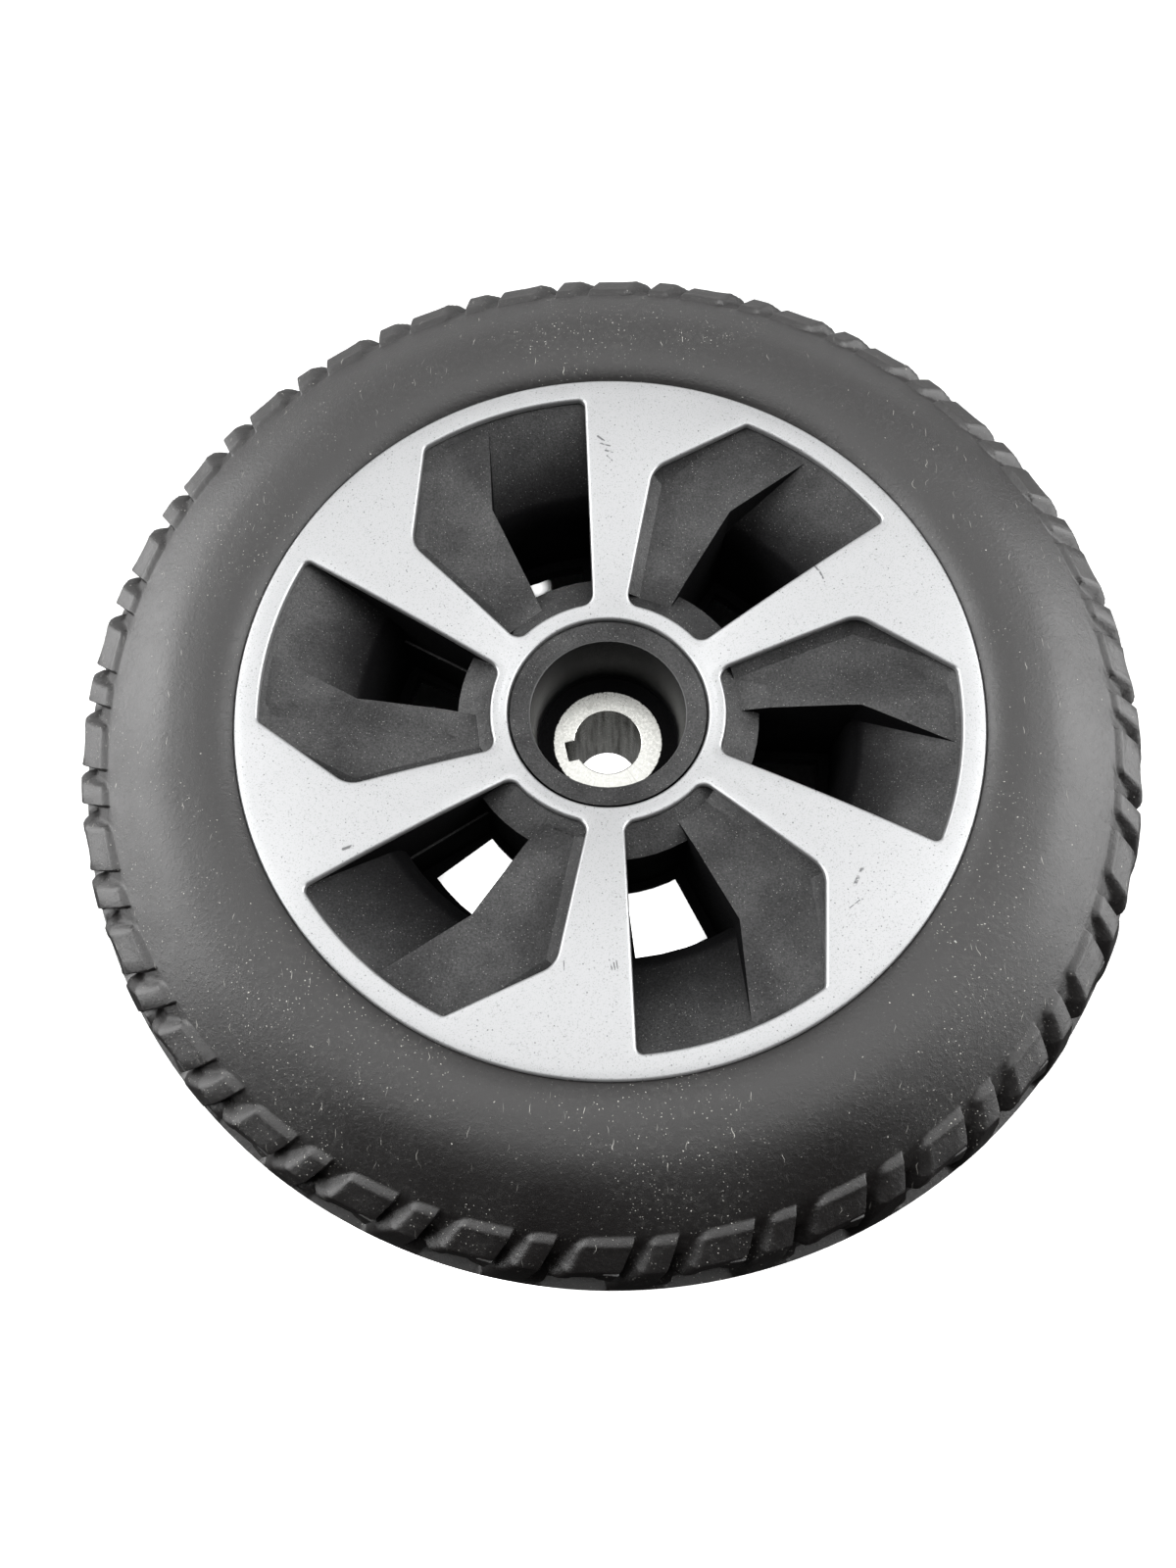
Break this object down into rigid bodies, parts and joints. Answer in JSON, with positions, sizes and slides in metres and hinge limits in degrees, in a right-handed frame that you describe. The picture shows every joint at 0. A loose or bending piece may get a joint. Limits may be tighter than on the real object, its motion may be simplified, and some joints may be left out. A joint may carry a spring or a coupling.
{
  "type": "power wheelchair drive wheel",
  "caption": "Spoked drive wheel: treaded solid tyre on a split black rim, dished silver face trim with swept windows, and a keyed steel sleeve for a motor shaft.",
  "frame": {"origin": "centre of the hub's rear end, on the wheel's axis", "axes": "+Z along the wheel's axis towards the trimmed face, +X to the right and +Y away from the viewer in the picture"},
  "size_m": [0.254, 0.254, 0.067],
  "materials": {
    "tyre_rubber": "matte charcoal, dusty",
    "rim_black": "fine-grained matte black",
    "trim_silver": "satin silver paint with fine dark flake",
    "plated_steel": "bright zinc plate"
  },
  "bodies": {
    "root": {"tyre": "tyre_rubber", "rim_front": "rim_black", "rim_rear": "rim_black", "face_trim": "trim_silver", "hub_insert": "plated_steel", "rim_screws": "plated_steel"}
  },
  "joints": []
}
